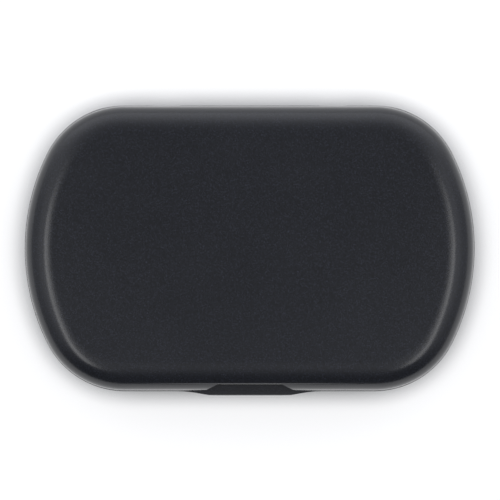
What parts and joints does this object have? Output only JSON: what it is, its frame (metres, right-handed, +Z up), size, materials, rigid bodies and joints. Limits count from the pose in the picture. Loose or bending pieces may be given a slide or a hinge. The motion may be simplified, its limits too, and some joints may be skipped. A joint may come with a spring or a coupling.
{
  "type": "watercolor pan set",
  "caption": "Rounded black plastic pocket paint box with a hinged lid, thumb notch, white tray of half pans, travel brush and clip-in mixing palette.",
  "frame": {"origin": "middle of the flat underside, under the centre of the rim's outline, on the plane that the box rests on", "axes": "+X along the box's width, to the right as seen from the thumb lip; +Y from the thumb lip at the front to the hinges at the back; +Z up, out of the lid"},
  "size_m": [0.14, 0.0904, 0.0255],
  "materials": {
    "case_plastic": "fine spark-eroded grain, satin",
    "tray_plastic": "smooth white moulding",
    "pan_plastic": "smooth white moulding",
    "pin_steel": "drawn wire",
    "handle_lacquer": "gloss lacquer over wood",
    "ferrule_metal": "nickel-plated sheet",
    "brush_fibre": "soft synthetic hair",
    "paint_lemon": "dry cast watercolour, slightly glossy",
    "paint_deep_yellow": "dry cast watercolour, slightly glossy",
    "paint_orange": "dry cast watercolour, slightly glossy",
    "paint_scarlet": "dry cast watercolour, slightly glossy",
    "paint_crimson": "dry cast watercolour, slightly glossy",
    "paint_violet": "dry cast watercolour, slightly glossy",
    "paint_ultramarine": "dry cast watercolour, slightly glossy",
    "paint_sky_blue": "dry cast watercolour, slightly glossy",
    "paint_viridian": "dry cast watercolour, slightly glossy",
    "paint_sap_green": "dry cast watercolour, slightly glossy",
    "paint_ochre": "dry cast watercolour, slightly glossy",
    "paint_umber": "dry cast watercolour, slightly glossy"
  },
  "bodies": {
    "base": {"base_shell": "case_plastic", "hinge_pin_left": "pin_steel", "hinge_pin_right": "pin_steel", "pan_tray": "tray_plastic", "brush_handle": "handle_lacquer", "brush_ferrule": "ferrule_metal", "brush_hair": "brush_fibre", "half_pan_01": "pan_plastic", "half_pan_02": "pan_plastic", "half_pan_03": "pan_plastic", "half_pan_04": "pan_plastic", "half_pan_05": "pan_plastic", "half_pan_06": "pan_plastic", "half_pan_07": "pan_plastic", "half_pan_08": "pan_plastic", "half_pan_09": "pan_plastic", "half_pan_10": "pan_plastic", "half_pan_11": "pan_plastic", "half_pan_12": "pan_plastic", "paint_lemon": "paint_lemon", "paint_deep_yellow": "paint_deep_yellow", "paint_orange": "paint_orange", "paint_scarlet": "paint_scarlet", "paint_crimson": "paint_crimson", "paint_violet": "paint_violet", "paint_ultramarine": "paint_ultramarine", "paint_sky_blue": "paint_sky_blue", "paint_viridian": "paint_viridian", "paint_sap_green": "paint_sap_green", "paint_ochre": "paint_ochre", "paint_umber": "paint_umber"},
    "lid": {"lid_shell": "case_plastic", "lid_palette": "tray_plastic"}
  },
  "joints": [
    {"name": "lid_hinge", "type": "hinge", "parent": "base", "child": "lid", "pos_m": [0, 0.0423, 0.0105], "axis": [-1, 0, 0], "range_deg": [0, 118]}
  ]
}
